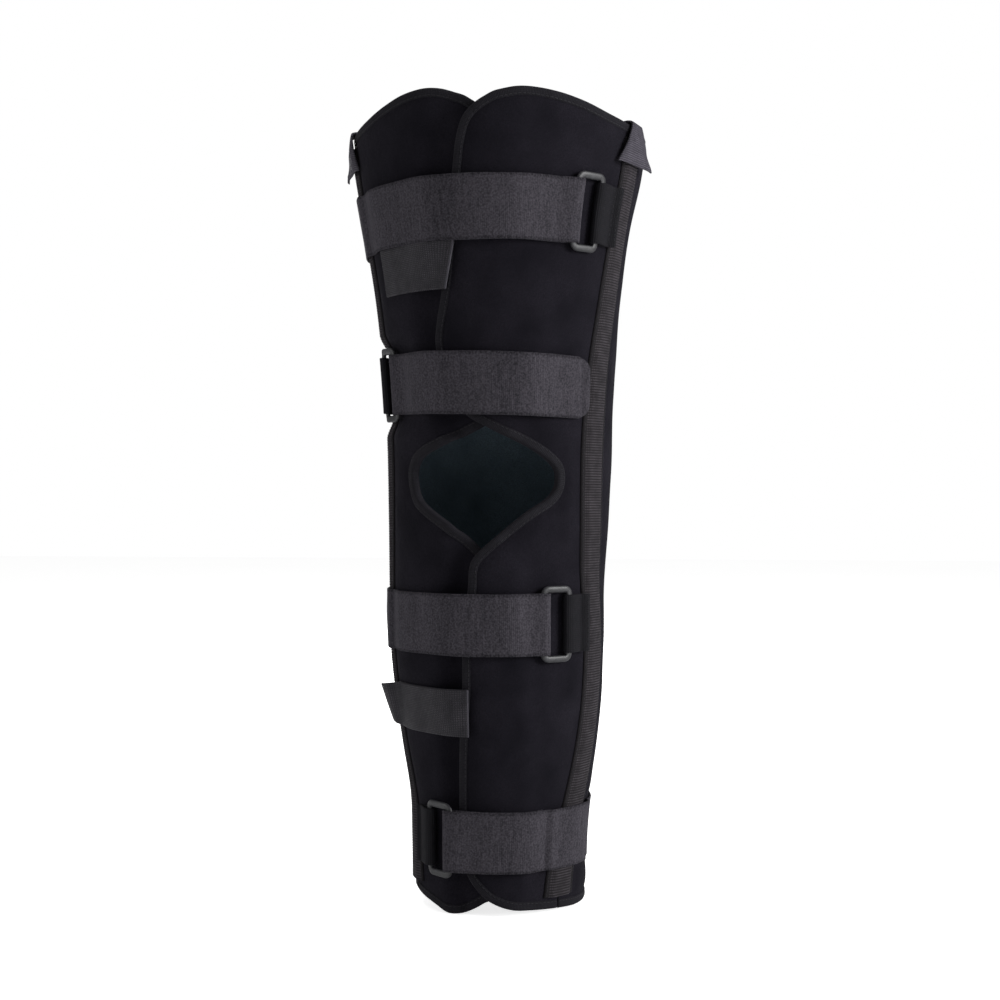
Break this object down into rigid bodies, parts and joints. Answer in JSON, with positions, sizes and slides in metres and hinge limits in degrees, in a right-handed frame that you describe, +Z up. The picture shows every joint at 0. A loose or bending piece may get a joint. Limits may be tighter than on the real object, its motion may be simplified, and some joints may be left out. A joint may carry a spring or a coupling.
{
  "type": "knee immobilizer",
  "caption": "straight foam wrap that holds a leg still at the knee, with side stays, a kneecap opening, and hook and loop straps that turn back through rings",
  "frame": {"origin": "the middle of the knee, on the axis of the wrap, where the leg sits", "axes": "+Z up the leg towards the thigh, the kneecap opening faces -Y, the over flap's side is +X"},
  "size_m": [0.2002, 0.1998, 0.5067],
  "materials": {
    "foam": "black brushed foam laminate",
    "binding": "black stretch edge tape",
    "casing": "ribbed woven tape",
    "cap": "grey-black looped tape",
    "strap": "napped loop webbing",
    "anchor": "plain woven webbing",
    "ring": "moulded black plastic",
    "tab": "hook tape"
  },
  "bodies": {
    "root": {"under_flap": "foam", "over_flap": "foam", "back_panel": "foam", "under_flap_binding": "binding", "over_flap_binding": "binding", "back_panel_top_binding": "binding", "back_panel_bottom_binding": "binding", "left_stay_casing": "casing", "right_stay_casing": "casing", "left_casing_cap": "cap", "right_casing_cap": "cap", "upper_thigh_strap": "strap", "lower_thigh_strap": "strap", "upper_calf_strap": "strap", "lower_calf_strap": "strap", "upper_thigh_anchor": "anchor", "lower_thigh_anchor": "anchor", "upper_calf_anchor": "anchor", "lower_calf_anchor": "anchor", "upper_thigh_ring": "ring", "lower_thigh_ring": "ring", "upper_calf_ring": "ring", "lower_calf_ring": "ring", "upper_tab": "tab", "lower_tab": "tab"}
  },
  "joints": []
}
